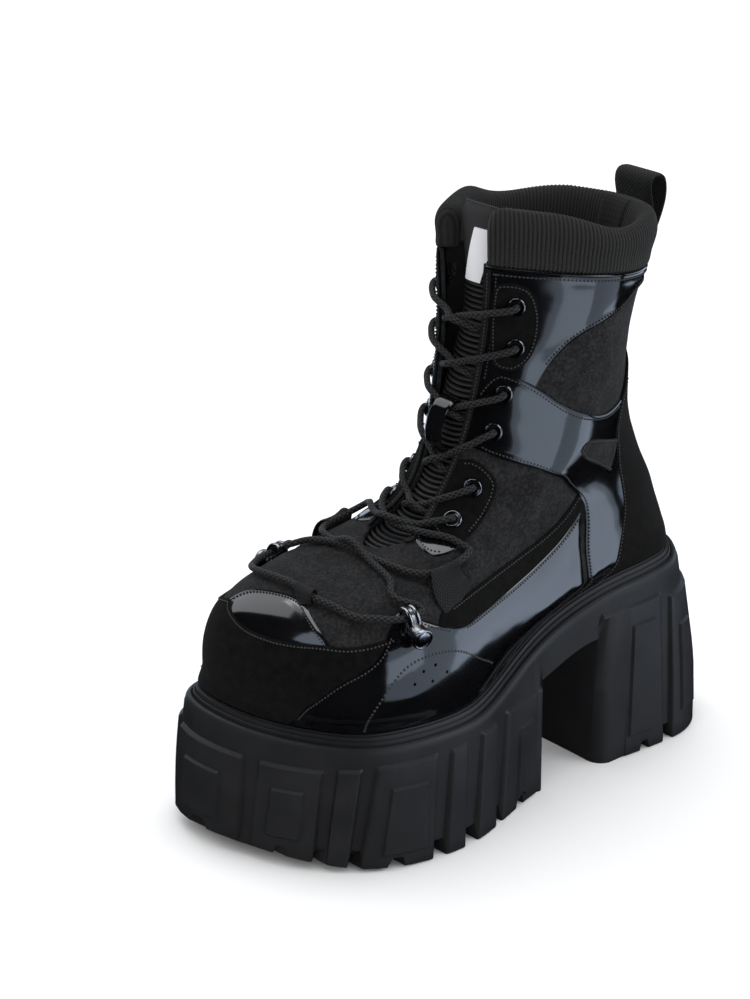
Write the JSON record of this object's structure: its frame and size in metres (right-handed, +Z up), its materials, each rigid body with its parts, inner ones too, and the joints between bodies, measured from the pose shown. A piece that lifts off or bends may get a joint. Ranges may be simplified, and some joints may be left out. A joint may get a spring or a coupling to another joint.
{
  "type": "platform boot",
  "caption": "Chunky black lace-up ankle boot on a lugged platform sole with a block heel, with a knitted collar, padded tongue, lace hooks and a webbing pull loop.",
  "frame": {"origin": "on the floor under the middle of the boot's box", "axes": "+Z up, toe towards -Y, heel towards +Y, lateral side of this left boot towards +X"},
  "size_m": [0.1256, 0.2848, 0.2863],
  "materials": {
    "rubber": "moulded matt black rubber",
    "nubuck": "matt black nubuck",
    "patent": "black patent, high gloss",
    "suede": "black suede",
    "knit": "ribbed black knit",
    "lining": "black textile lining",
    "webbing": "woven black webbing",
    "cord": "round braided black lace",
    "gunmetal": "polished gunmetal",
    "thread": "dark stitching thread",
    "label": "plain white woven label"
  },
  "bodies": {
    "root": {"sole": "rubber", "upper": "nubuck", "insole": "lining", "tongue": "knit", "collar": "knit", "pull_loop": "webbing", "eyelet_lateral_1": "gunmetal", "eyelet_lateral_2": "gunmetal", "eyelet_lateral_3": "gunmetal", "eyelet_lateral_4": "gunmetal", "eyelet_lateral_5": "gunmetal", "eyelet_lateral_6": "gunmetal", "hook_lateral": "gunmetal", "eyelet_medial_1": "gunmetal", "eyelet_medial_2": "gunmetal", "eyelet_medial_3": "gunmetal", "eyelet_medial_4": "gunmetal", "eyelet_medial_5": "gunmetal", "eyelet_medial_6": "gunmetal", "hook_medial": "gunmetal", "keeper_loop": "patent", "loop_lateral": "webbing", "loop_medial": "webbing", "loop_toe": "webbing", "lace_toe_lateral": "cord", "lace_toe_medial": "cord", "lace_vamp": "cord", "lace_low": "cord", "lace_cross_5": "cord", "lace_cross_4": "cord", "lace_cross_3": "cord", "lace_cross_2": "cord", "lace_cross_1": "cord"}
  },
  "joints": []
}
